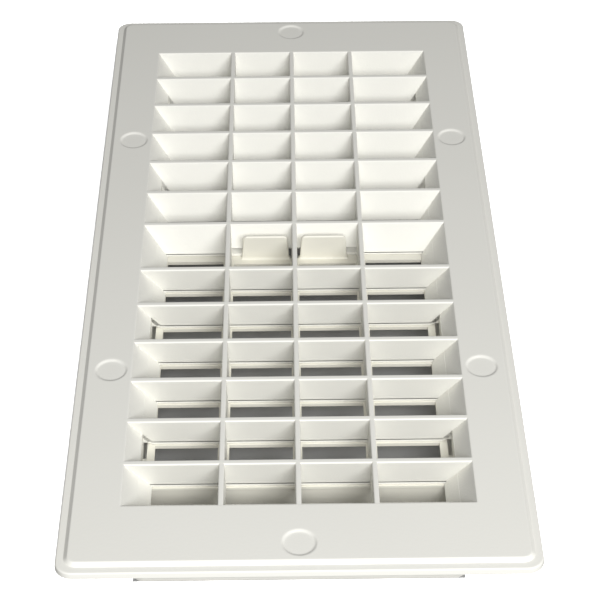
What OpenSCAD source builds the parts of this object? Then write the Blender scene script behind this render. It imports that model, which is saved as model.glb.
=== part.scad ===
// Floor vent register: a moulded face with fixed blades, and a sliding damper under it.
// Origin at the centre of the plate's underside. +Z is up out of the floor, +Y runs along the length.
// All sizes are in millimetres.

/* [Plate] */
// Overall width of the plate
plate_w = 136; // [134:1:146]
// Overall length of the plate
plate_l = 292; // [286:1:304]
// Height of the outer ledge
ledge_h = 2.2; // [1.8:0.1:2.6]
// Width of the outer ledge, up to the slope
ledge_w = 2.5; // [2:0.5:4]
// Height of the raised face above the underside
face_h = 3.3; // [3:0.1:4]
// Width of the slope between ledge and face
slope_w = 1.15; // [0.8:0.05:1.5]
// Corner radius of the plate
corner_r = 5; // [4:0.5:6]
// Wall left between the face and the hollow under it
face_wall = 2.2; // [1.8:0.1:2.4]
// Width of the rim that rests on the floor
rim_w = 4; // [3:0.5:6]

/* [Knock-outs] */
// Radius of a closed screw knock-out at the face
knock_r = 5.1; // [4:0.1:6]
// Depth of a knock-out
knock_depth = 0.45; // [0.2:0.05:0.8]
// Width of its sloping side
knock_slope = 0.85; // [0.4:0.05:1.2]
// Distance of the side knock-outs from the long middle line
knock_x = 57.2; // [56.5:0.1:58.5]
// Distance of the side knock-outs from the short middle line
knock_y = 62.5; // [50:0.5:90]
// Distance of the end knock-outs from the middle
knock_end = 135.9; // [132:0.1:137]

/* [Opening and blades] */
// Width of the opening at the face
open_w = 101.6; // [101:0.1:102]
// How far each long side wall leans in at its foot
side_lean = 6.85; // [6:0.05:7]
// Distance from one blade to the next
pitch = 18.25; // [18:0.05:18.5]
// Blades on each side of the middle row
half_blades = 6; // [6:1:6]
// Thickness of a blade
blade_t = 1.9; // [1.6:0.1:2.2]
// How far the foot of a blade leans towards the middle
blade_lean = 2.63; // [2.4:0.01:2.8]
// Clear width of the middle row at the face
middle_gap = 22.9; // [22:0.1:23.5]
// Depth of the blades below the face
blade_depth = 10.5; // [10:0.1:11]
// Height of the notch under the two middle parts of the blade by the tabs
notch_h = 1.95; // [1.5:0.05:2.5]

/* [Long ribs] */
// Distance from one long rib to the next
rib_pitch = 22.3; // [22:0.1:22.6]
// Thickness of a long rib at the face
rib_t = 1.6; // [1.4:0.1:1.8]
// Thickness of a long rib at its foot
rib_foot_t = 1.9; // [1.8:0.1:2.1]

/* [Slotted floor] */
// Thickness of the floor
floor_t = 1; // [0.8:0.1:1.2]
// Length of a floor slot along the plate
slot_l = 8.6; // [8:0.1:8.6]
// Near edge of the middle slot's extension for the tabs
tab_slot_y = -2.4; // [-3:0.1:-2]
// Nearest and farthest edge of the end slot, from the last blade's foot
end_slot = [7.73, 13.93];

/* [Sleeve] */
// Wall thickness of the leaning opening walls
wall_t = 1.5; // [1.3:0.1:1.6]
// Wall thickness of the duct sleeve
sleeve_t = 1.7; // [1.5:0.1:1.8]
// Distance between the sleeve's two long outer faces
sleeve_w = 96.9; // [96.5:0.1:97.5]
// Distance between the sleeve's two end outer faces
sleeve_l = 253.8; // [253.5:0.1:254]
// Depth of the sleeve below the plate's underside
sleeve_d = 22.1; // [20:0.1:40]
// Corner radius of the sleeve
sleeve_r = 3; // [2:0.5:4]
// Reach of a hook under the damper's edge
hook_reach = 2.4; // [2:0.1:2.6]
// Thickness of a hook
hook_t = 1.6; // [1.2:0.1:2]
// Length of a hook
hook_l = 7; // [5:0.5:9]

/* [Damper] */
// Thickness of the damper plate
damper_t = 1.2; // [1:0.1:1.4]
// Width of the damper plate
damper_w = 91; // [90.6:0.1:91.6]
// Gap between the damper and the floor above it, and the hooks below it
damper_gap = 0.2; // [0.1:0.05:0.3]
// How far a damper bar reaches past its slot's edge when closed
lap = 0.6; // [0.4:0.05:0.7]
// How far it reaches past the slot's other edge
lap_far = 0.7; // [0.5:0.05:0.8]
// Width of the damper's bars under the outer long ribs
damper_rib = 3.4; // [3:0.1:3.8]
// Width of the damper's bar under the middle long rib
damper_mid_rib = 2.8; // [2.6:0.1:3]
// Width of the damper's rim beside its slots
damper_rim = 2.35; // [2:0.05:2.6]
// Near edge of the middle bar beside the long sides
mid_bar_side = 5.9; // [5.5:0.1:6.1]
// Near edge of the middle bar at the tabs
mid_bar_tab = 4.3; // [4.1:0.1:4.5]
// Nearest and farthest edge of the last bar
end_bar = [115.4, 124.95];
// Depth of the turned-down lip at each end, from the damper's top
lip_h = 7.3; // [4:0.1:9]
// Thickness of the lip
lip_t = 1.2; // [1:0.1:1.4]

/* [Tabs] */
// Distance of a tab's inner edge from the middle at its base
tab_in = 1.8; // [1.6:0.1:2]
// Distance of a tab's outer edge from the middle at its base
tab_out = 17.9; // [17:0.1:18]
// How far each side edge of a tab leans in at its top
tab_draft = 0.75; // [0.4:0.05:1]
// Height of the tabs' tops above the plate's underside
tab_top = 2.2; // [1:0.1:2.4]
// Near face of a tab where it leaves the damper plate
tab_y = 7.3; // [7:0.1:7.4]
// How far a tab leans towards the near end at its top
tab_lean = 1.7; // [1:0.1:2]
// Thickness of a tab
tab_t = 1.2; // [1:0.1:1.3]
// Radius of a tab's top corners
tab_r = 1.4; // [1:0.1:2.5]

/* [Guide] */
// Thickness of the guide rib
guide_t = 1.6; // [1.4:0.1:1.8]
// Nearest and farthest edge of the guide rib
guide_y = [7.8, 11.8];
// Width of the slots in floor and damper around the guide rib
guide_slot_w = 3.8; // [3.6:0.1:4]
// Nearest and farthest edge of the damper's slot for the guide rib
guide_slot_y = [7.6, 20.6];
// Far edge of the open place beside the guide rib in the floor
guide_open_y = 12.4; // [12:0.1:14]

/* [Hidden] */
$fn = 48;
eps = 0.01;
over = 1;
half_gap = middle_gap / 2;
foot_z = face_h - blade_depth;
floor_z = foot_z - floor_t;
damper_z = floor_z - damper_gap;
hook_z = damper_z - damper_t - damper_gap;
open_l = 2 * (half_gap + half_blades * pitch);
side_slope = side_lean / blade_depth;
blade_slope = blade_lean / blade_depth;
foot_half_w = open_w / 2 - side_lean;
rib_xs = [-rib_pitch, 0, rib_pitch];
rows = [0 : half_blades - 1];
window_rows = [1, 4];
near_edge = -(half_gap + blade_t - blade_lean);
far_edge = half_gap - blade_lean;
last_foot = far_edge + blade_t + (half_blades - 1) * pitch;
skirt_in = sleeve_w / 2 - sleeve_t;
plate_colour = [0.86, 0.86, 0.84];
damper_colour = [0.88, 0.86, 0.80];

// A plate with drafted sides whose corners are cones, w by l at its underside.
module drafted_plate(w, l, h, r, run) {
    for (a = [0, 90]) {
        across = a == 0 ? w : l;
        along = a == 0 ? l : w;
        rotate([0, 0, a])
            rotate([90, 0, 0])
                linear_extrude(along - 2 * r, center = true)
                    polygon([[-across / 2, 0], [across / 2, 0],
                             [across / 2 - run, h], [run - across / 2, h]]);
    }
    for (x = [-1, 1], y = [-1, 1])
        translate([x * (w / 2 - r), y * (l / 2 - r), 0])
            cylinder(h, r, r - run);
}

// A straight plate with round corners.
module round_plate(w, l, h, r) {
    drafted_plate(w, l, h, r, 0);
}

// The funnel of the opening between two heights, grown outwards by grow.
module funnel(grow, top, bottom) {
    up = top - face_h;
    down = bottom - face_h;
    hx = open_w / 2 + grow;
    hy = open_l / 2 + grow;
    intersection() {
        rotate([90, 0, 0])
            linear_extrude(open_l + 20, center = true)
                polygon([[-hx - up * side_slope, top], [hx + up * side_slope, top],
                         [hx + down * side_slope, bottom], [-hx - down * side_slope, bottom]]);
        rotate([90, 0, 90])
            linear_extrude(open_w + 20, center = true)
                polygon([[-hy - up * blade_slope, top], [hy + up * blade_slope, top],
                         [hy + down * blade_slope, bottom], [-hy - down * blade_slope, bottom]]);
    }
}

// A bar along X whose section leans like the far blades, from foot edge y0 to y1.
module leaning_bar(y0, y1, x0, x1, top, bottom) {
    up = (top - foot_z) * blade_slope;
    down = (bottom - foot_z) * blade_slope;
    translate([x0, 0, 0])
        rotate([90, 0, 90])
            linear_extrude(x1 - x0)
                polygon([[y0 + down, bottom], [y1 + down, bottom], [y1 + up, top], [y0 + up, top]]);
}

// Both halves of the length: the far half as drawn, and its mirror image.
module both_ends() {
    children();
    mirror([0, 1, 0])
        children();
}

module plate() {
    difference() {
        union() {
            drafted_plate(plate_w, plate_l, ledge_h, corner_r, 0.3);
            translate([0, 0, ledge_h - eps])
                drafted_plate(plate_w - 2 * ledge_w, plate_l - 2 * ledge_w,
                              face_h - ledge_h + eps, corner_r - 1.35, slope_w);
        }
        translate([0, 0, -over])
            round_plate(plate_w - 2 * rim_w, plate_l - 2 * rim_w, face_h - face_wall + over, corner_r - 2);
        knock_outs();
    }
}

module knock_outs() {
    places = [for (x = [-1, 1], y = [-1, 1]) [x * knock_x, y * knock_y],
              [0, knock_end], [0, -knock_end]];
    rise = knock_depth / knock_slope;
    for (p = places)
        translate([p[0], p[1], face_h - knock_depth])
            cylinder(knock_depth + over, knock_r - knock_slope, knock_r + over / rise);
}

module sleeve() {
    depth = sleeve_d + face_h - face_wall + eps;
    difference() {
        translate([0, 0, -sleeve_d])
            round_plate(sleeve_w, sleeve_l, depth, sleeve_r);
        translate([0, 0, -sleeve_d - over])
            round_plate(sleeve_w - 2 * sleeve_t, sleeve_l - 2 * sleeve_t, depth + 2 * over,
                        sleeve_r - sleeve_t);
    }
}

module leaning_walls() {
    difference() {
        funnel(wall_t, face_h - face_wall + eps, floor_z);
        funnel(0, face_h + over, floor_z - over);
    }
}

// The open places in rows 2, 5, 9 and 12, where the leaning wall and the floor stop short of the sleeve.
module windows() {
    both_ends()
        for (m = window_rows, side = [-1, 1]) {
            x = side > 0 ? foot_half_w : -skirt_in;
            leaning_bar(far_edge + blade_t + m * pitch, far_edge + (m + 1) * pitch,
                        x, x + skirt_in - foot_half_w, face_h, floor_z - over);
        }
}

module hooks() {
    both_ends()
        for (m = window_rows, side = [-1, 1]) {
            y = far_edge + blade_t + (m + 0.5) * pitch - blade_t / 2;
            x = side > 0 ? skirt_in - hook_reach + eps : -skirt_in - 0.5;
            translate([x, y - hook_l / 2, hook_z - hook_t])
                cube([hook_reach + 0.5, hook_l, hook_t]);
        }
}

module blades() {
    intersection() {
        both_ends()
            for (m = rows)
                leaning_bar(far_edge + m * pitch, far_edge + blade_t + m * pitch,
                            -open_w / 2 - 1, open_w / 2 + 1, face_h, foot_z - eps);
        union() {
            funnel(0.5, face_h, foot_z - eps);
            translate([-skirt_in - 0.2, -open_l / 2, foot_z - eps])
                cube([2 * skirt_in + 0.4, open_l, blade_depth - (open_w / 2 - skirt_in) / side_slope]);
        }
    }
}

module long_ribs() {
    intersection() {
        for (x = rib_xs)
            translate([x, 0, 0])
                rotate([90, 0, 0])
                    linear_extrude(open_l + 2, center = true)
                        polygon([[-rib_t / 2, face_h], [rib_t / 2, face_h],
                                 [rib_foot_t / 2, foot_z - eps], [-rib_foot_t / 2, foot_z - eps]]);
        funnel(0.5, face_h, foot_z - eps);
    }
}

// Floor slots of one row between the long ribs, from y0 to y1.
module row_slots(y0, y1) {
    inner = [rib_foot_t / 2, rib_pitch + rib_foot_t / 2];
    outer = [rib_pitch - rib_foot_t / 2, foot_half_w];
    for (side = [0, 1], c = [0, 1])
        mirror([side, 0, 0])
            translate([inner[c], y0, floor_z - over])
                cube([outer[c] - inner[c], y1 - y0, floor_t + over + eps]);
}

module slotted_floor() {
    hy = last_foot + blade_t;
    difference() {
        funnel(0.3, foot_z, floor_z);
        for (m = rows)
            row_slots(near_edge - m * pitch - slot_l, near_edge - m * pitch);
        for (m = rows)
            row_slots(far_edge + m * pitch - slot_l, far_edge + m * pitch);
        row_slots(last_foot + end_slot[0], last_foot + end_slot[1]);
        for (side = [0, 1])
            mirror([side, 0, 0]) {
                translate([tab_in - 0.5, tab_slot_y, floor_z - over])
                    cube([tab_out - tab_in + 1, far_edge - tab_slot_y, floor_t + over + eps]);
                translate([rib_t / 2, far_edge - over, floor_z - over])
                    cube([(guide_slot_w - rib_t) / 2, guide_open_y - far_edge + over, floor_t + 2 * over]);
            }
    }
}

// The notch under the blade behind the tabs, in the two middle columns.
module tab_notch() {
    for (side = [0, 1])
        mirror([side, 0, 0])
            translate([rib_foot_t / 2, far_edge - 1, foot_z])
                cube([rib_pitch - rib_foot_t, blade_t + 2.5, notch_h]);
}

module guide_rib() {
    translate([-guide_t / 2, guide_y[0], hook_z - 1])
        cube([guide_t, guide_y[1] - guide_y[0], floor_z - hook_z + 1 + floor_t]);
}

module register_body() {
    color(plate_colour)
        difference() {
            union() {
                difference() {
                    union() {
                        plate();
                        sleeve();
                        leaning_walls();
                    }
                    funnel(0, face_h + over, foot_z);
                }
                difference() {
                    union() {
                        blades();
                        slotted_floor();
                    }
                    tab_notch();
                }
                long_ribs();
                hooks();
                guide_rib();
            }
            windows();
        }
}

// Damper slots between y0 and y1 in one column, counted from the middle outwards.
module damper_slot(column, y0, y1) {
    x0 = column == 0 ? damper_mid_rib / 2 : rib_pitch + 0.1 + damper_rib / 2;
    x1 = column == 0 ? rib_pitch + 0.1 - damper_rib / 2 : damper_w / 2 - damper_rim;
    for (side = [0, 1])
        mirror([side, 0, 0])
            translate([x0, y0, damper_z - damper_t - over])
                cube([x1 - x0, y1 - y0, damper_t + 2 * over]);
}

module damper_plate() {
    near_end = near_edge - (half_blades - 1) * pitch - lap;
    translate([-damper_w / 2, near_end, damper_z - damper_t])
        cube([damper_w, end_bar[1] - near_end, damper_t]);
    for (y = [near_end, end_bar[1] - lip_t])
        translate([-damper_w / 2, y, damper_z - lip_h])
            cube([damper_w, lip_t, lip_h]);
}

module tab() {
    h = tab_top - damper_z;
    root = damper_z - damper_t;
    top_in = tab_in + tab_draft;
    top_out = tab_out - tab_draft;
    under = tab_lean * damper_t / h;
    intersection() {
        translate([0, tab_y + tab_t + 1, 0])
            rotate([90, 0, 0])
                linear_extrude(tab_lean + tab_t + 2)
                    union() {
                        polygon([[tab_in, root], [tab_out, root],
                                 [top_out, tab_top - tab_r], [top_in, tab_top - tab_r]]);
                        translate([top_in + tab_r, tab_top - 2 * tab_r])
                            square([top_out - top_in - 2 * tab_r, 2 * tab_r]);
                        for (x = [top_in + tab_r, top_out - tab_r])
                            translate([x, tab_top - tab_r])
                                circle(tab_r);
                    }
        translate([tab_in - 1, 0, 0])
            rotate([90, 0, 90])
                linear_extrude(tab_out - tab_in + 2)
                    polygon([[tab_y + under, root], [tab_y + tab_t + under, root],
                             [tab_y + tab_t - tab_lean, tab_top], [tab_y - tab_lean, tab_top]]);
    }
}

module damper() {
    bar = slot_l + lap_far;
    color(damper_colour) {
        difference() {
            damper_plate();
            for (m = [1 : half_blades - 1], column = [0, 1])
                damper_slot(column, near_edge - m * pitch + bar, near_edge - (m - 1) * pitch - lap);
            damper_slot(0, near_edge + bar, mid_bar_tab);
            damper_slot(1, near_edge + bar, mid_bar_side);
            for (m = [1 : half_blades - 1], column = [0, 1])
                damper_slot(column, far_edge + (m - 1) * pitch + bar, far_edge + m * pitch - lap);
            for (column = [0, 1])
                damper_slot(column, far_edge + (half_blades - 1) * pitch + bar, end_bar[0]);
            translate([-guide_slot_w / 2, guide_slot_y[0], damper_z - damper_t - over])
                cube([guide_slot_w, guide_slot_y[1] - guide_slot_y[0], damper_t + 2 * over]);
        }
        for (side = [0, 1])
            mirror([side, 0, 0])
                tab();
    }
}

register_body();
damper();
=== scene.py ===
# %% [markdown]
# # A floor vent register
# The real object is two plastic mouldings: a plate with leaning blades, and a slotted damper that slides under it.
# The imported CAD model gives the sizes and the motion. This script gives the two mouldings their rounded edges and
# their plastic, and lights them as in the photograph.

import math

import bmesh
import bpy
import numpy as np
from mathutils import Matrix, Vector


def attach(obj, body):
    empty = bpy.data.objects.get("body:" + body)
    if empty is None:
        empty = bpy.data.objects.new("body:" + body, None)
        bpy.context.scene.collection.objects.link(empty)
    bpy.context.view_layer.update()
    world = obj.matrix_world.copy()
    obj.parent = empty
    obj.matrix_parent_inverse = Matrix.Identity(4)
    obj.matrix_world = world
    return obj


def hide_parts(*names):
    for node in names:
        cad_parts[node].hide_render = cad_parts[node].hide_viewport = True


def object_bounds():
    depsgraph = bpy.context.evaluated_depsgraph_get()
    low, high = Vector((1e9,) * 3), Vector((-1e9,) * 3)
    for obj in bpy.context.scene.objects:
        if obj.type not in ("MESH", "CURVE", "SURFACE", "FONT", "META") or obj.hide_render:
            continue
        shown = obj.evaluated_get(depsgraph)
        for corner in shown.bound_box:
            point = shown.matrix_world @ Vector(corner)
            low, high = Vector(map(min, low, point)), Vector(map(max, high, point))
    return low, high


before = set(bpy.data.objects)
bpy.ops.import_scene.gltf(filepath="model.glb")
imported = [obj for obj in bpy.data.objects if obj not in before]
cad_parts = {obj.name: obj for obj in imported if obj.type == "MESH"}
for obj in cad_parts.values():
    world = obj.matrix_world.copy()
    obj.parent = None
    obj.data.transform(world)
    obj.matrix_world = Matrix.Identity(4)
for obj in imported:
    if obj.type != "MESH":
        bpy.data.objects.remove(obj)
cad_box = [list(corner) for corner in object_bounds()]
MM = 0.001
print("CAD box in mm:", np.round(np.array(cad_box) / MM, 2).tolist())

# %% [markdown]
# ## Sizes
# A moulded grille is all repeats: one pitch, one lean, one depth. The same few numbers as in the CAD model place
# every blade, rib and slot here, in millimetres, with the origin in the middle of the plate's underside.
# Blades lean so that their feet point to the middle: the near six are the mirror image of the far six.

# %% Sizes in millimetres
FACE = 3.3                    # height of the face above the plate's underside
FOOT = -7.2                   # height of the blades' feet, where the slotted floor starts
FLOOR_UNDER = -8.2            # underside of the slotted floor
PITCH = 18.25                 # from one blade to the next
BLADE = 1.9                   # thickness of a blade
HALF_GAP = 11.45              # half the clear middle row at the face
LEAN = 2.63                   # how far a blade's foot stands towards the middle
OPEN_X, OPEN_Y = 50.8, HALF_GAP + 6 * PITCH    # half sizes of the opening at the face
SIDE_LEAN = 6.85              # how far the long walls lean in at their foot
RIB_PITCH = 22.3              # from one long rib to the next
SKIRT_X, SKIRT_Y = 46.75, 125.2                # inner half sizes of the duct sleeve
SLEEVE_X, SLEEVE_Y, SLEEVE_BOTTOM = 48.45, 126.9, -22.1
NEAR_EDGE = -(HALF_GAP + BLADE - LEAN)         # far edge of row 8's floor slot
FAR_EDGE = HALF_GAP - LEAN                     # far edge of the middle row's floor slot
ROWS = np.arange(6)
SLOT = 8.6                    # length of a floor slot, and the damper's travel


def lean_x(z):
    """Half width of the opening at height z: it shrinks evenly from the face down to the foot."""
    return OPEN_X - SIDE_LEAN * (FACE - z) / (FACE - FOOT)


def lean_y(z):
    """Half length of the opening at height z."""
    return OPEN_Y - LEAN * (FACE - z) / (FACE - FOOT)


print("opening at the face:", 2 * OPEN_X, "x", 2 * OPEN_Y, "mm; at the foot:", 2 * lean_x(FOOT), "x", 2 * lean_y(FOOT), "mm")

# %% [markdown]
# ## Surfaces from numbers
# Every wall of a moulding is a profile carried along a path, so one function turns a grid of points into faces, and
# another gathers several such skins into one mesh. A moulding has no knife edges: the corner of each profile is an
# arc, found for all corners at once.

# %% Skins
def skin(points, wrap_u=False, wrap_v=False, cap=False):
    """Faces of a grid of points (u, v, 3): one quad between each four neighbours.
    wrap_u and wrap_v join the last row or column to the first. cap closes both ends of a wrapped v with one face."""
    points = np.asarray(points, float)
    nu, nv = points.shape[:2]
    index = np.arange(nu * nv).reshape(nu, nv)
    grid = np.vstack([index, index[:1]]) if wrap_u else index
    grid = np.hstack([grid, grid[:, :1]]) if wrap_v else grid
    quads = np.stack([grid[:-1, :-1], grid[1:, :-1], grid[1:, 1:], grid[:-1, 1:]], -1).reshape(-1, 4)
    faces = quads.tolist()
    if cap:
        faces += [index[0].tolist(), index[-1][::-1].tolist()]
    return points.reshape(-1, 3), faces


def gather(skins):
    """Several skins as one: the points one after another, each skin's face numbers moved up by the points before it."""
    points, faces, start = [], [], 0
    for p, f in skins:
        points.append(p)
        faces += [[i + start for i in face] for face in f]
        start += len(p)
    return np.concatenate(points), faces


def round_corners(corners, radii, steps=4):
    """A closed profile whose corners are arcs. At each corner of half angle a and radius r the arc starts and ends
    r / tan(a) from the corner, and its centre lies r / sin(a) along the bisector. With radius 0 it stays one point."""
    c = np.asarray(corners, float)
    r = np.broadcast_to(np.asarray(radii, float), len(c))[:, None]
    back, on = np.roll(c, 1, 0) - c, np.roll(c, -1, 0) - c
    back /= np.linalg.norm(back, axis=1, keepdims=True)
    on /= np.linalg.norm(on, axis=1, keepdims=True)
    half = np.arccos(np.clip((back * on).sum(1), -1, 1))[:, None] / 2
    bisector = (back + on) / np.maximum(np.linalg.norm(back + on, axis=1, keepdims=True), 1e-9)
    centre = c + bisector * r / np.sin(half)
    first, last = c + back * r / np.tan(half) - centre, c + on * r / np.tan(half) - centre
    t = np.linspace(0, 1, steps + 1)[None, :, None]
    arc = first[:, None] * (1 - t) + last[:, None] * t
    arc *= r[:, None] / np.maximum(np.linalg.norm(arc, axis=2, keepdims=True), 1e-9)
    keep = (r > 0) | (np.arange(steps + 1) == 0)
    return (centre[:, None] + arc)[keep]


def piece(name, skins, body, material, smooth_below=40):
    """One mesh object from skins given in millimetres: it rides on a body and takes a material."""
    points, faces = gather(skins)
    mesh = bpy.data.meshes.new(name)
    mesh.from_pydata((points * MM).tolist(), [], faces)
    shell = bmesh.new()
    shell.from_mesh(mesh)
    bmesh.ops.recalc_face_normals(shell, faces=shell.faces)
    shell.to_mesh(mesh)
    shell.free()
    mesh.shade_smooth()
    obj = bpy.data.objects.new(name, mesh)
    bpy.context.scene.collection.objects.link(obj)
    mesh.materials.append(material)
    mesh.set_sharp_from_angle(angle=math.radians(smooth_below))
    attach(obj, body)
    print(name, len(mesh.vertices), "points,", len(mesh.polygons), "faces")
    return obj

# %% [markdown]
# ## Plastics
# Both mouldings are white plastic straight from the tool. The tool's face is finely textured, so light spreads
# softly and no window mirrors in it. Thin white plastic lets light bounce from wall to wall, which is why the shade
# inside turns warm. The damper comes from another batch and is a little creamier.

# %% Node helpers
def linear(hex_colour):
    """sRGB hex to linear RGBA: the sRGB curve undone for each channel."""
    s = np.array([int(hex_colour[i:i + 2], 16) / 255 for i in (1, 3, 5)])
    return (*np.where(s <= 0.04045, s / 12.92, ((s + 0.055) / 1.055) ** 2.4).tolist(), 1.0)


def add(tree, kind, settings=(), **inputs):
    """Adds a node with its settings and inputs. An input is named, or i and its number; a socket is linked."""
    n = tree.nodes.new(kind)
    for key, value in dict(settings).items():
        setattr(n, key, value)
    for key, value in inputs.items():
        socket = n.inputs[int(key[1:]) if key[1:].isdigit() else key.replace("_", " ")]
        if isinstance(value, bpy.types.NodeSocket):
            tree.links.new(value, socket)
        else:
            socket.default_value = value
    return n


def empty_material(name):
    """A material with only its output, and its node tree."""
    material = bpy.data.materials.new(name)
    material.use_nodes = True
    material.node_tree.nodes.clear()
    return material, material.node_tree, material.node_tree.nodes.new("ShaderNodeOutputMaterial")


# %% Plastics
def moulded_plastic(name, pale, deep, roughness, grain_mm, grain_height_mm):
    """White moulded plastic: two close tints in clouds of 60 mm, and a bump of fine rounded grains."""
    material, tree, output = empty_material(name)
    place = add(tree, "ShaderNodeTexCoord").outputs["Object"]
    cloud = add(tree, "ShaderNodeTexNoise", Vector=place, Scale=1 / (60 * MM), Detail=2.0)
    tint = add(tree, "ShaderNodeMix", {"data_type": "RGBA"}, i0=cloud.outputs["Fac"], i6=linear(pale), i7=linear(deep))
    grain = add(tree, "ShaderNodeTexNoise", Vector=place, Scale=1 / (grain_mm * MM), Detail=2.0)
    bump = add(tree, "ShaderNodeBump", Strength=1.0, Distance=grain_height_mm * MM, Height=grain.outputs["Fac"])
    shader = add(tree, "ShaderNodeBsdfPrincipled", Base_Color=tint.outputs["Result"], Normal=bump.outputs["Normal"],
                 Roughness=roughness, IOR=1.55, Specular_IOR_Level=0.4)
    tree.links.new(shader.outputs[0], output.inputs["Surface"])
    return material


# High-impact polystyrene, injection moulded in a spark-eroded tool: matt, evenly white, faintly warm in the shade.
plate_plastic = moulded_plastic("polystyrene_moulded_fine_texture", "#f0efe8", "#ecebe4", 0.5, 0.7, 0.03)
# Polypropylene, injection moulded in a smoother tool: a little waxy and creamier than the plate.
damper_plastic = moulded_plastic("polypropylene_moulded_smooth", "#efede2", "#ebe8db", 0.42, 1.2, 0.01)

# %% [markdown]
# ## The plate and the funnel of the opening
# On the real part the face, its stepped edge, the rim underneath and the leaning walls of the opening are one skin of
# plastic about 2 mm thick. So they are made as one: a closed profile of rounded corners is carried around a rounded
# rectangle. The long walls lean more than the end walls, so there are two profiles with the same number of points,
# and the corners blend from one to the other.

# %% A profile carried around a rounded rectangle
def around(side_x, side_y, radius, part_x, part_y, corner_steps=8):
    """Grid of points: profile point j by place t around a rounded rectangle.
    side_x and side_y hold (half size, height) of the profile where it crosses the X and the Y axis, radius its corner
    radius. part_x and part_y, from -1 to 1, say where points fall on the straight parts. In a corner the point is the
    arc's centre plus radius times (cos, sin), and the height goes from side_x's to side_y's as sin squared."""
    hx, hy, r = side_x[:, :1], side_y[:, :1], np.asarray(radius, float)[:, None]
    turn = np.linspace(0, np.pi / 2, corner_steps + 1)[None, 1:-1]
    cx, cy = hx - r, hy - r
    quarter = [cx + r * np.cos(turn), cy + r * np.sin(turn)]
    px, py = np.asarray(part_x)[None], np.asarray(part_y)[None]
    blend = np.sin(turn[0]) ** 2
    x = [hx + 0 * py, quarter[0], -cx * px, -quarter[0][:, ::-1], -hx + 0 * py, -quarter[0], cx * px, quarter[0][:, ::-1]]
    y = [cy * py, quarter[1], hy + 0 * px, quarter[1][:, ::-1], -cy * py, -quarter[1], -hy + 0 * px, -quarter[1][:, ::-1]]
    w = [0 * py[0], blend, 1 + 0 * px[0], blend[::-1], 0 * py[0], blend, 1 + 0 * px[0], blend[::-1]]
    x, y, w = np.hstack(x), np.hstack(y), np.concatenate(w)[None]
    z = side_x[:, 1:] * (1 - w) + side_y[:, 1:] * w
    return np.stack([x, y, z], -1)


def rounded(corners, radii, fine=None, fine_steps=1, steps=4):
    """round_corners, with fine_steps points put in on the straight run after corner number fine."""
    arcs = round_corners(corners, radii, steps).reshape(len(corners), steps + 1, 2)
    runs = []
    for k, arc in enumerate(arcs):
        runs.append(arc)
        if k == fine:
            t = np.linspace(0, 1, fine_steps + 2)[1:-1, None]
            runs.append(arc[-1] * (1 - t) + arcs[(k + 1) % len(arcs), 0] * t)
    return np.concatenate(runs)


# %% Screw knock-outs
KNOCK_OUTS = np.array([(x, y) for x in (-57.2, 57.2) for y in (-62.5, 62.5)] + [(0, -135.9), (0, 135.9)])
KNOCK_R, KNOCK_SLOPE, KNOCK_DEPTH = 5.1, 0.85, 0.45


def knock_depth(x, y):
    """Depth of the round recesses: a smooth step from nothing at 5.1 mm to 0.45 mm at 4.25 mm from a centre."""
    distance = np.sqrt((x[..., None] - KNOCK_OUTS[:, 0]) ** 2 + (y[..., None] - KNOCK_OUTS[:, 1]) ** 2).min(-1)
    t = np.clip((KNOCK_R - distance) / KNOCK_SLOPE, 0, 1)
    return KNOCK_DEPTH * t * t * (3 - 2 * t)


# %% The plate
Z_MEET = FACE - (OPEN_X - SKIRT_X) * (FACE - FOOT) / SIDE_LEAN    # where the leaning wall meets the sleeve
WALL = 1.5
edge_radii = [0.01, 0.45, 0.5, 0.3, 0.5, 0.35, 0.2, 0.2, 0.3, 0.01]
corner_radii = [0.3, 0.3, 2.5, 3.65, 4.7, 5.0, 3.0, 3.0, 0.5, 0.3]
profile_x = [(lean_x(Z_MEET), Z_MEET), (OPEN_X, FACE), (64.35, FACE), (65.5, 2.2), (67.7, 2.2), (68, 0), (64, 0), (64, 1.1),
             (lean_x(1.1) + WALL, 1.1), (lean_x(Z_MEET) + WALL, Z_MEET)]
profile_y = [(lean_y(Z_MEET), Z_MEET), (OPEN_Y, FACE), (142.35, FACE), (143.5, 2.2), (145.7, 2.2), (146, 0), (142, 0), (142, 1.1),
             (lean_y(1.1) + WALL, 1.1), (lean_y(Z_MEET) + WALL, Z_MEET)]
FINE = 56
side_x = rounded(profile_x, edge_radii, fine=1, fine_steps=FINE)
side_y = rounded(profile_y, edge_radii, fine=1, fine_steps=FINE)
spread = np.repeat(corner_radii, 5)
radius = np.concatenate([spread[:10], np.linspace(0.3, 2.5, FINE + 2)[1:-1], spread[10:]])
near_knock = np.linspace(0.39, 0.56, 56)
dense = np.unique(np.concatenate([near_knock, np.linspace(-1, 1, 41), -near_knock]).round(5))
middle = np.unique(np.concatenate([np.linspace(-0.115, 0.115, 41), np.linspace(-1, 1, 25)]).round(5))
plate_grid = around(side_x, side_y, radius, middle, dense)
on_face = plate_grid[..., 2] > FACE - 0.001
plate_grid[..., 2] -= np.where(on_face, knock_depth(plate_grid[..., 0], plate_grid[..., 1]), 0)
plate = skin(plate_grid, wrap_u=True, wrap_v=True)
print("plate:", len(plate[1]), "faces, from", plate[0].min(0).round(2), "to", plate[0].max(0).round(2))

# %% [markdown]
# ## Bars: blades, ribs, and the lower walls
# A blade is one leaning section carried across the opening, and its ends follow the leaning walls. Each bar is a grid
# of two rows of points for every point of its section, so one function makes them all. Where the tabs are, the blade
# behind them is cut short to let the damper's bar pass, so it is made of three bars that meet inside the long ribs.

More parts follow.
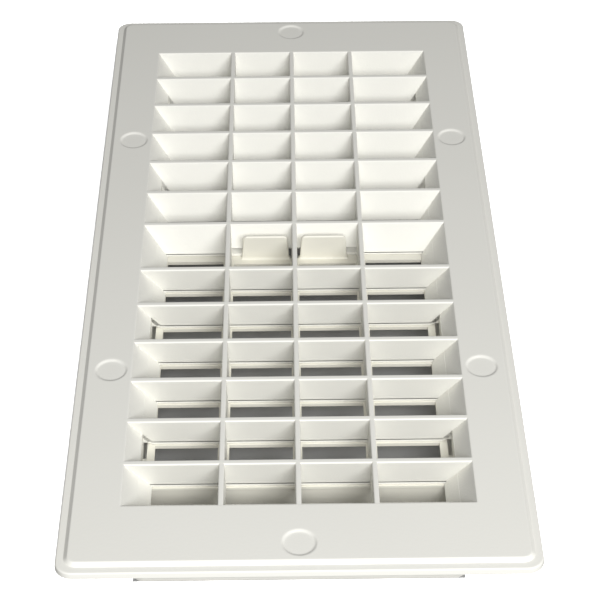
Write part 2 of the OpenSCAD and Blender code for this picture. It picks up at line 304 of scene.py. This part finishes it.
# %% Bars
def bar_x(section, half_length, low=None):
    """A bar along X from its (y, z) section: at each point it reaches from -half_length to half_length, or from low."""
    reach = np.broadcast_to(half_length, len(section))
    start = -reach if low is None else np.broadcast_to(low, len(section))
    y, z = section.T
    return skin([np.stack([start, y, z], -1), np.stack([reach, y, z], -1)], wrap_v=True, cap=True)


def bar_y(section, start, end):
    """A bar along Y from its (x, z) section, from start to end at each of its points."""
    x, z = section.T
    return skin([np.stack([x, np.broadcast_to(start, len(x)), z], -1), np.stack([x, np.broadcast_to(end, len(x)), z], -1)],
                wrap_v=True, cap=True)


def blade_section(foot_y, side, top=FACE - 0.015, bottom=FOOT - 0.3, edge=0.42):
    """Section of a blade whose foot starts at foot_y: a leaning strip 1.9 mm thick with a rounded top and a short
    upright root in the floor. side is 1 in the far half, where tops lean away, and -1 in the near half."""
    lean = lambda z: foot_y + side * LEAN / (FACE - FOOT) * (max(z, FOOT) - FOOT)
    rise = [bottom] + [z for z in (FOOT, Z_MEET - 0.01, Z_MEET) if bottom < z < top] + [top]
    corners = [(lean(z), z) for z in rise] + [(lean(z) + BLADE, z) for z in rise[::-1]]
    radii = [edge if z == top else 0 for z in rise + rise[::-1]]
    return round_corners(corners, radii)


def blade_reach(z):
    """How far a blade's end runs into the side wall: 0.3 mm past the leaning wall, and to the sleeve below it."""
    return np.where(z > Z_MEET - 0.005, lean_x(z) + 0.3, SKIRT_X + 0.1)


far_feet = FAR_EDGE + ROWS * PITCH
near_feet = -(far_feet + BLADE)
NOTCH_TOP = FOOT + 1.95
blades = []
for foot, side in [(f, 1) for f in far_feet[1:]] + [(f, -1) for f in near_feet]:
    section = blade_section(foot, side)
    blades.append(bar_x(section, blade_reach(section[:, 1])))
whole = blade_section(far_feet[0], 1)
short = blade_section(far_feet[0], 1, bottom=NOTCH_TOP)
blades.append(bar_x(whole, blade_reach(whole[:, 1]), low=RIB_PITCH))
blades.append(bar_x(whole, -RIB_PITCH, low=-blade_reach(whole[:, 1])))
blades.append(bar_x(short, RIB_PITCH))

# %% Long ribs
ribs = []
for x in (-RIB_PITCH, 0, RIB_PITCH):
    section = rounded([(x - 0.96, FOOT - 0.3), (x + 0.96, FOOT - 0.3), (x + 0.8, FACE - 0.03), (x - 0.8, FACE - 0.03)], [0.01, 0.01, 0.38, 0.38])
    reach = lean_y(section[:, 1]) + 0.3
    ribs.append(bar_y(section, -reach, reach))

# %% Lower walls, between the open notches of rows 2, 5, 9 and 12
edges = [(-118.6, -100.07), (-83.72, -45.32), (-28.97, 28.97), (45.32, 83.72), (100.07, 118.6)]
low_wall = np.array([(SKIRT_X, Z_MEET), (SKIRT_X + WALL, Z_MEET), (lean_x(FLOOR_UNDER) + WALL, FLOOR_UNDER), (lean_x(FLOOR_UNDER), FLOOR_UNDER)])
walls = []
for y0, y1 in edges:
    lean0, lean1 = (np.sign(y) * LEAN / (FACE - FOOT) * (low_wall[:, 1] - FOOT) for y in (y0, y1))
    walls.append(bar_y(low_wall, y0 + lean0, y1 + lean1))
    mirrored = low_wall[::-1] * (-1, 1)
    walls.append(bar_y(mirrored, y0 + lean0[::-1], y1 + lean1[::-1]))
end_wall = np.array([(lean_y(FLOOR_UNDER), FLOOR_UNDER), (lean_y(Z_MEET), Z_MEET), (lean_y(Z_MEET) + WALL, Z_MEET), (lean_y(FLOOR_UNDER) + WALL, FLOOR_UNDER)])
walls.append(bar_x(end_wall, lean_x(end_wall[:, 1]) + 0.3))
walls.append(bar_x(end_wall[::-1] * (-1, 1), lean_x(end_wall[::-1, 1]) + 0.3))
print(len(blades), "blade skins,", len(ribs), "ribs,", len(walls), "lower walls")

# %% [markdown]
# ## Slotted sheets
# The floor under the blades and the damper are flat sheets with rows of slots. All the slots' edges together make a
# grid of cells, and a cell is plastic unless a slot covers it. Faces go over and under the plastic cells, and a wall
# wherever plastic meets a slot.

# %% A sheet with rectangular holes
def sheet(outline, holes, top, under):
    """Points and faces of a flat sheet: outline and holes are (x0, y0, x1, y1)."""
    boxes = np.array([outline] + list(holes), float)
    inside = lambda values, low, high: np.unique(np.clip(values, low, high).round(4))
    xs, ys = inside(boxes[:, [0, 2]], outline[0], outline[2]), inside(boxes[:, [1, 3]], outline[1], outline[3])
    mx, my = np.meshgrid((xs[:-1] + xs[1:]) / 2, (ys[:-1] + ys[1:]) / 2, indexing="ij")
    h = boxes[1:]
    cut = (mx[..., None] > h[:, 0]) & (mx[..., None] < h[:, 2]) & (my[..., None] > h[:, 1]) & (my[..., None] < h[:, 3])
    solid = ~cut.any(-1)
    index = np.arange(len(xs) * len(ys)).reshape(len(xs), len(ys))
    a, b, c, d = index[:-1, :-1], index[1:, :-1], index[1:, 1:], index[:-1, 1:]
    quads = [np.stack([a, b, c, d], -1)[solid] + index.size, np.stack([d, c, b, a], -1)[solid]]
    pad = np.pad(solid, 1)
    for axis, step in ((0, 1), (0, -1), (1, 1), (1, -1)):
        open_side = solid & ~np.roll(pad, -step, axis)[1:-1, 1:-1]
        p, q = {(0, 1): (b, c), (0, -1): (d, a), (1, 1): (c, d), (1, -1): (a, b)}[axis, step]
        quads.append(np.stack([p, q, q + index.size, p + index.size], -1)[open_side])
    gx, gy = np.meshgrid(xs, ys, indexing="ij")
    flat = np.stack([gx.ravel(), gy.ravel()], -1)
    points = np.concatenate([np.c_[flat, np.full(len(flat), under)], np.c_[flat, np.full(len(flat), top)]])
    faces = np.concatenate(quads)
    used, renumbered = np.unique(faces, return_inverse=True)
    return points[used], renumbered.reshape(faces.shape).tolist()


def both_sides(boxes):
    """The same holes left and right of the middle."""
    return [tuple(b) for b in boxes] + [(-b[2], b[1], -b[0], b[3]) for b in boxes]


def box(x0, y0, z0, x1, y1, z1):
    """The six faces of a plain block, as a sheet with no holes."""
    return sheet((x0, y0, x1, y1), [(x0, y0, x0, y0)], z1, z0)

# %% The slotted floor
RIB_FOOT = 0.95
FOOT_X = OPEN_X - SIDE_LEAN
columns = [(RIB_FOOT, RIB_PITCH - RIB_FOOT), (RIB_PITCH + RIB_FOOT, FOOT_X)]
ends = np.concatenate([NEAR_EDGE - ROWS * PITCH, FAR_EDGE + ROWS * PITCH])
floor_slots = [(x0, e - SLOT, x1, e) for e in ends for x0, x1 in columns]
LAST_FOOT = FAR_EDGE + BLADE + 5 * PITCH
floor_slots += [(x0, LAST_FOOT + 7.73, x1, LAST_FOOT + 13.93) for x0, x1 in columns]
floor_slots += [(1.3, -2.4, 18.4, FAR_EDGE), (0.8, FAR_EDGE - 1, 1.9, 12.4)]
windows = [(FOOT_X, y0, 60, y1) for y0, y1 in ((-100.07, -83.72), (-45.32, -28.97), (28.97, 45.32), (83.72, 100.07))]
slotted_floor = sheet((-FOOT_X - 0.3, -lean_y(FOOT) - 0.3, FOOT_X + 0.3, lean_y(FOOT) + 0.3), both_sides(floor_slots + windows), FOOT, FLOOR_UNDER)

# %% [markdown]
# ## Sleeve, hooks and guide rib
# Below the plate a sleeve drops into the duct. Eight short hooks inside it carry the damper's edges, and a rib under
# the middle of the grille runs in a slot of the damper and stops it at both ends of its travel. The sleeve's long
# walls end where the leaning walls meet them, and its end walls reach the underside of the plate.

# %% Sleeve
sleeve_profile = lambda inner, outer: rounded([(inner, 1.15), (inner, SLEEVE_BOTTOM), (outer, SLEEVE_BOTTOM), (outer, 1.15)], [0.01, 0.3, 0.3, 0.01])
sleeve_part = np.unique(np.concatenate([np.linspace(-1, 1, 9), [0.9745, 0.9755, -0.9745, -0.9755]]))
sleeve_grid = around(sleeve_profile(SKIRT_X, SLEEVE_X), sleeve_profile(SKIRT_Y, SLEEVE_Y), np.repeat([1.3, 1.3, 3.0, 3.0], 5), np.linspace(-1, 1, 9), sleeve_part)
low_side = np.abs(sleeve_grid[..., 1]) < 120.85
sleeve_grid[..., 2] = np.where(low_side, np.minimum(sleeve_grid[..., 2], Z_MEET + 0.1), sleeve_grid[..., 2])
sleeve = skin(sleeve_grid, wrap_u=True, wrap_v=True)

# %% Hooks and guide rib
DAMPER_TOP, DAMPER_UNDER = -8.4, -9.6
HOOK_TOP, HOOK_T = -9.8, 1.6
hooks = [box(x0, y - 3.5, HOOK_TOP - HOOK_T, x0 + 2.9, y + 3.5, HOOK_TOP)
         for x0 in (SKIRT_X - 2.4, -SKIRT_X - 0.5) for y in (-91.895, -37.145, 37.145, 91.895)]
guide_rib = box(-0.8, 7.8, -10.8, 0.8, 11.8, FOOT)

# %% The register body
register = piece("register_moulding", [plate] + blades + ribs + walls + [slotted_floor, sleeve, guide_rib] + hooks,
                 "register", plate_plastic)
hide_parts("register_body")

# %% [markdown]
# ## The damper
# One sheet with a bar under each strip of floor, so that a move of 8.6 mm towards the near end shuts every slot. Both
# ends are turned down to stiffen it. Two finger tabs stand up in the middle row. They are worked out as a stack of
# rounded rectangles, wider at the root where a small fillet runs out into the sheet, and rounded off at the top.

# %% The damper's sheet
LAP, BAR = 0.6, SLOT + 0.7
NEAR_END, FAR_END = NEAR_EDGE - 5 * PITCH - LAP, 124.95
damper_columns = [(1.4, RIB_PITCH + 0.1 - 1.7), (RIB_PITCH + 0.1 + 1.7, 45.5 - 2.35)]
near_rows = [(NEAR_EDGE - m * PITCH + BAR, NEAR_EDGE - (m - 1) * PITCH - LAP) for m in range(1, 6)]
far_rows = [(FAR_EDGE + (m - 1) * PITCH + BAR, FAR_EDGE + m * PITCH - LAP) for m in range(1, 6)]
last_row = [(FAR_EDGE + 5 * PITCH + BAR, 115.4)]
damper_slots = [(x0, y0, x1, y1) for y0, y1 in near_rows + far_rows + last_row for x0, x1 in damper_columns]
damper_slots += [(damper_columns[0][0], NEAR_EDGE + BAR, damper_columns[0][1], 4.3), (damper_columns[1][0], NEAR_EDGE + BAR, damper_columns[1][1], 5.9)]
damper_slots += [(-0.1, 7.6, 1.9, 20.6)]
damper_sheet = sheet((-45.5, NEAR_END, 45.5, FAR_END), both_sides(damper_slots), DAMPER_TOP, DAMPER_UNDER)
lips = [box(-45.5, y, DAMPER_TOP - 7.3, 45.5, y + 1.2, DAMPER_UNDER + 0.1) for y in (NEAR_END, FAR_END - 1.2)]

# %% Finger tabs
def tab(side):
    """A tab as a stack of rounded rectangles from the sheet to its top: half width and half thickness grow by a
    fillet of 0.9 mm at the root, the corners at the top are arcs of 1.4 mm, and the top edge is a half round."""
    root, top, lean, thick, corner, fillet = DAMPER_TOP - 0.02, 2.2, 1.7, 1.2, 1.4, 0.9
    rise = np.concatenate([fillet * (1 - np.cos(np.linspace(0, np.pi / 2, 7))), np.linspace(fillet, top - root - corner, 6)[1:-1],
                           top - root - corner + corner * np.sin(np.linspace(0, np.pi / 2, 14)[:-1] * 0.999)])
    height = top - root
    flare = fillet * 0.55 * np.clip(1 - rise / fillet, 0, 1) ** 2
    outer, inner = 17.9 - 0.75 * rise / height, 1.8 + 0.75 * rise / height
    corner_in = corner - np.sqrt(np.clip(corner ** 2 - np.clip(rise - (height - corner), 0, None) ** 2, 0, None))
    half_w = (outer - inner) / 2 - corner_in + flare
    edge = thick / 2
    half_t = np.sqrt(np.clip(edge ** 2 - np.clip(rise - (height - edge), 0, None) ** 2, 0.0004, None)) + flare
    turn = np.linspace(0, 2 * np.pi, 41)[:-1]
    r = np.minimum(half_t, 0.5)[:, None] * 0.98
    x = (half_w[:, None] - r) * np.sign(np.cos(turn)) + r * np.cos(turn)
    y = (half_t[:, None] - r) * np.sign(np.sin(turn)) + r * np.sin(turn)
    middle_x = side * (outer + inner)[:, None] / 2
    middle_y = 7.3 + thick / 2 - lean * (rise / height)[:, None]
    return skin(np.stack([x + middle_x, y + middle_y, root + rise[:, None] + 0 * x], -1), wrap_v=True, cap=True)


damper = piece("damper_moulding", [damper_sheet] + lips + [tab(-1), tab(1)], "damper", damper_plastic)
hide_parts("damper")

# %% Edges and shading
for obj in (register, damper):
    obj.modifiers.new("weighted normals", "WEIGHTED_NORMAL").keep_sharp = True

# %% [markdown]
# ## Camera
# The photograph looks down at the near end of the plate, about 39 degrees above it. The focal length and the turn of
# the camera come from a least-squares fit of the plate's outline, blades and knock-outs, so they are plain numbers
# here: a 112.6 mm lens on a 36 mm frame, half a metre from the plate.

# %% Camera
def turned(x, y, z):
    """Rotation from the object's axes to the camera's: about X, then Y, then Z, in degrees."""
    return (Matrix.Rotation(math.radians(z), 3, "Z") @ Matrix.Rotation(math.radians(y), 3, "Y")
            @ Matrix.Rotation(math.radians(x), 3, "X"))


camera_data = bpy.data.cameras.new("camera")
camera_data.lens = 1876.87 / 600 * 36
camera_data.sensor_width = 36
camera = bpy.data.objects.new("camera", camera_data)
bpy.context.scene.collection.objects.link(camera)
place = Vector((-2.85, -497.57, 382.97 + FACE)) * MM
camera.matrix_world = Matrix.Translation(place) @ turned(-50.713, 0.4098, 0.6065).transposed().to_4x4()
bpy.context.scene.camera = camera
bpy.context.scene.view_settings.view_transform = "Standard"

# %% [markdown]
# ## Floor and light
# The photograph has a white ground and one large soft lamp at the viewer's side, a little to the right and 35 to 40
# degrees up: the near sides of the blades and the walls on the left are the brightest surfaces. The ground is a pale
# sheet outside the sleeve, and there the camera sees it paler than it is, so that it comes out white. Under the sleeve
# the ground is painted shade: a mid grey, the same to every ray, which together with the little light that gets down
# there makes the slots look dim.

# %% Floor
# The first value is painted shade: a mid grey for the ground under the sleeve, for every ray, so that the slots look
# dim.
FLOOR_PAINTED_SHADE_UNDER_SLEEVE, FLOOR_BOUNCE, FLOOR_SEEN = 0.4, 0.25, 4.0
ground = cad_box[0][2]
floor_mesh = bpy.data.meshes.new("floor")
floor_mesh.from_pydata([(-2, -2, ground), (2, -2, ground), (2, 2, ground), (-2, 2, ground)], [], [(0, 1, 2, 3)])
floor = bpy.data.objects.new("floor", floor_mesh)
bpy.context.scene.collection.objects.link(floor)
# Smooth matt card under the object, white to the camera outside the sleeve; under the sleeve it is a mid grey, painted
# shade for the dim slots.
floor_material, tree, output = empty_material("ground_sheet_painted_shade_under_sleeve")
seen = add(tree, "ShaderNodeLightPath").outputs["Is Camera Ray"]
away = add(tree, "ShaderNodeVectorMath", {"operation": "ABSOLUTE"}, i0=add(tree, "ShaderNodeTexCoord").outputs["Object"])
across = add(tree, "ShaderNodeSeparateXYZ", i0=away.outputs[0])
within_x = add(tree, "ShaderNodeMath", {"operation": "LESS_THAN"}, i0=across.outputs["X"], i1=SLEEVE_X * MM)
within_y = add(tree, "ShaderNodeMath", {"operation": "LESS_THAN"}, i0=across.outputs["Y"], i1=SLEEVE_Y * MM)
# The sleeve's footprint on the ground, where the painted shade grey goes.
painted_shade_area = add(tree, "ShaderNodeMath", {"operation": "MULTIPLY"}, i0=within_x.outputs[0], i1=within_y.outputs[0])
outside = add(tree, "ShaderNodeMix", {"data_type": "FLOAT"}, i0=seen, i2=FLOOR_BOUNCE, i3=FLOOR_SEEN)
# Under the sleeve the ground takes the painted shade grey, for the camera and for every other ray.
shade = add(tree, "ShaderNodeMix", {"data_type": "FLOAT"}, i0=painted_shade_area.outputs[0], i2=outside.outputs[0], i3=FLOOR_PAINTED_SHADE_UNDER_SLEEVE)
matt = add(tree, "ShaderNodeBsdfDiffuse", Color=shade.outputs[0])
tree.links.new(matt.outputs[0], output.inputs["Surface"])
floor_mesh.materials.append(floor_material)

# %% Light
world = bpy.data.worlds.new("studio")
bpy.context.scene.world = world
world.use_nodes = True
tree = world.node_tree
tree.nodes.clear()
seen = add(tree, "ShaderNodeLightPath").outputs["Is Camera Ray"]
soft = add(tree, "ShaderNodeBackground", Color=linear("#ffffff"), Strength=0.16)
white = add(tree, "ShaderNodeBackground", Color=linear("#ffffff"), Strength=1.0)
both = add(tree, "ShaderNodeMixShader", i0=seen, i1=soft.outputs[0], i2=white.outputs[0])
add(tree, "ShaderNodeOutputWorld", Surface=both.outputs[0])


def soft_box(name, place, aim, size, power, colour="#ffffff"):
    """A rectangular lamp at place that looks at aim. Lengths in metres, power in watts."""
    data = bpy.data.lights.new(name, "AREA")
    data.shape = "RECTANGLE"
    data.size, data.size_y = size
    data.energy = power
    data.color = linear(colour)[:3]
    lamp = bpy.data.objects.new(name, data)
    bpy.context.scene.collection.objects.link(lamp)
    lamp.location = place
    lamp.rotation_euler = (Vector(aim) - Vector(place)).to_track_quat("-Z", "Y").to_euler()
    return lamp


soft_box("key light", (0.28, -1.0, 0.765), (0, 0, 0), (1.0, 0.5), 19)
